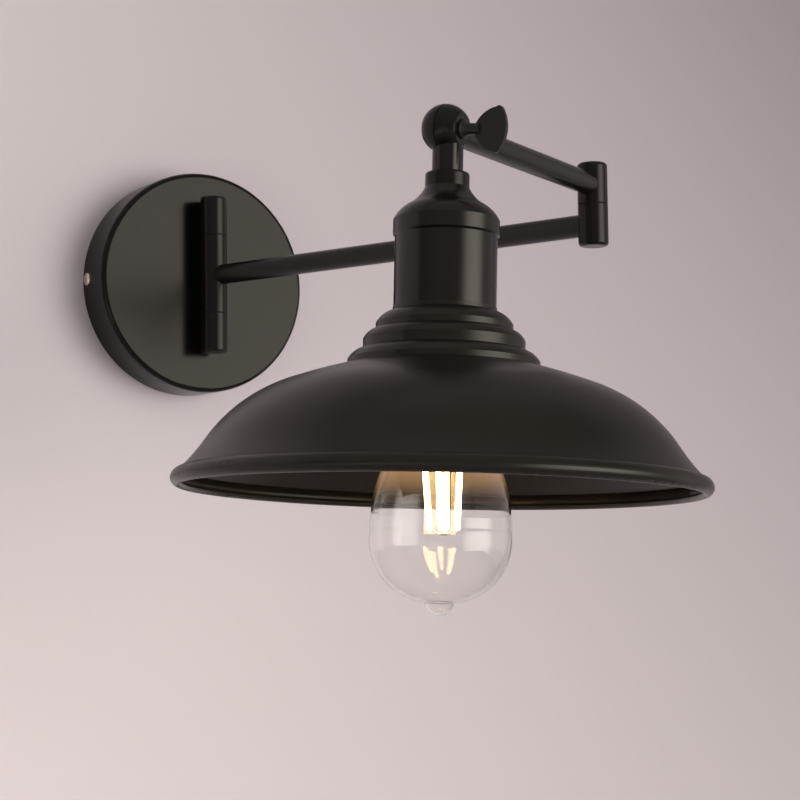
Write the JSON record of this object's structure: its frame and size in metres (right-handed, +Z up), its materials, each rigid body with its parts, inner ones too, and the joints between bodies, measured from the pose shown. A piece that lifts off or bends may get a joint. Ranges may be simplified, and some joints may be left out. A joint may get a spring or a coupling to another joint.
{
  "type": "swing-arm wall lamp",
  "caption": "Swing-arm wall lamp: round canopy, vertical hinge barrel, jointed level tube arms, split-ball tilt joint with a wing screw, and a wide spun bowl shade with a clear filament bulb.",
  "frame": {"origin": "centre of the canopy on the wall plane, which is also the middle of the two wall slots", "axes": "+Z up, -Y out of the wall, +X to the right for somebody facing the wall"},
  "size_m": [0.2788, 0.4967, 0.2668],
  "materials": {
    "black_paint": "satin black paint",
    "black_gloss": "semi-gloss black paint",
    "shade_paint": "matt black paint",
    "black_screw": "satin black",
    "plated_steel": "zinc plated",
    "nickel_screw": "nickel plated",
    "dark_fibre": "matt",
    "terminal_plastic": "matt",
    "black_plastic": "matt",
    "brass_fitting": "satin",
    "clear_glass": "clear",
    "filament_yellow": "phosphor coated",
    "solder": "dull"
  },
  "bodies": {
    "base": {"wall_bracket": "plated_steel", "terminal_block": "terminal_plastic", "earth_screw": "brass_fitting", "canopy": "black_paint", "canopy_side_screws": "nickel_screw", "base_knuckle_upper": "black_paint", "base_knuckle_lower": "black_paint", "post_washers": "plated_steel", "post_nuts": "plated_steel", "base_hinge_pin": "plated_steel", "base_hinge_washers": "dark_fibre"},
    "arm_1": {"base_sleeve": "black_paint", "arm_1_tube": "black_paint", "elbow_lower_barrel": "black_paint", "elbow_pin": "plated_steel", "elbow_washer": "dark_fibre"},
    "arm_2": {"elbow_upper_barrel": "black_paint", "arm_2_tube": "black_paint", "rear_half_ball": "black_paint", "seam_washer": "dark_fibre"},
    "wing_screw": {"wing_screw": "black_screw"},
    "head": {"front_half_ball": "black_paint", "stem": "black_gloss", "stem_collar": "black_paint", "threaded_nipple": "plated_steel", "nipple_locknut": "plated_steel", "socket_cup": "black_paint", "lampholder_body": "black_plastic", "lampholder_shell": "brass_fitting", "lampholder_contact": "brass_fitting", "shade_ring": "black_plastic", "shade": "shade_paint", "bulb_glass": "clear_glass", "bulb_cap": "brass_fitting", "bulb_insulator": "terminal_plastic", "bulb_contact": "solder", "bulb_stem": "clear_glass", "filaments": "filament_yellow", "filament_supports": "plated_steel"}
  },
  "joints": [
    {"name": "base_swing", "type": "hinge", "parent": "base", "child": "arm_1", "pos_m": [0, -0.0415, 0], "axis": [0, 0, 1], "range_deg": [-40, 44]},
    {"name": "elbow_swing", "type": "hinge", "parent": "arm_1", "child": "arm_2", "pos_m": [0.09615, -0.29594, 0], "axis": [0, 0, 1], "range_deg": [-37, 62]},
    {"name": "head_tilt", "type": "hinge", "parent": "arm_2", "child": "head", "pos_m": [-0.04649, -0.37274, 0.0235], "axis": [0.4703, -0.8735, -0.1253], "range_deg": [-60, 18]},
    {"name": "wing_turn", "type": "hinge", "parent": "arm_2", "child": "wing_screw", "pos_m": [-0.04649, -0.37274, 0.0235], "axis": [0.4703, -0.8735, -0.1253], "range_deg": [0, 180]}
  ]
}
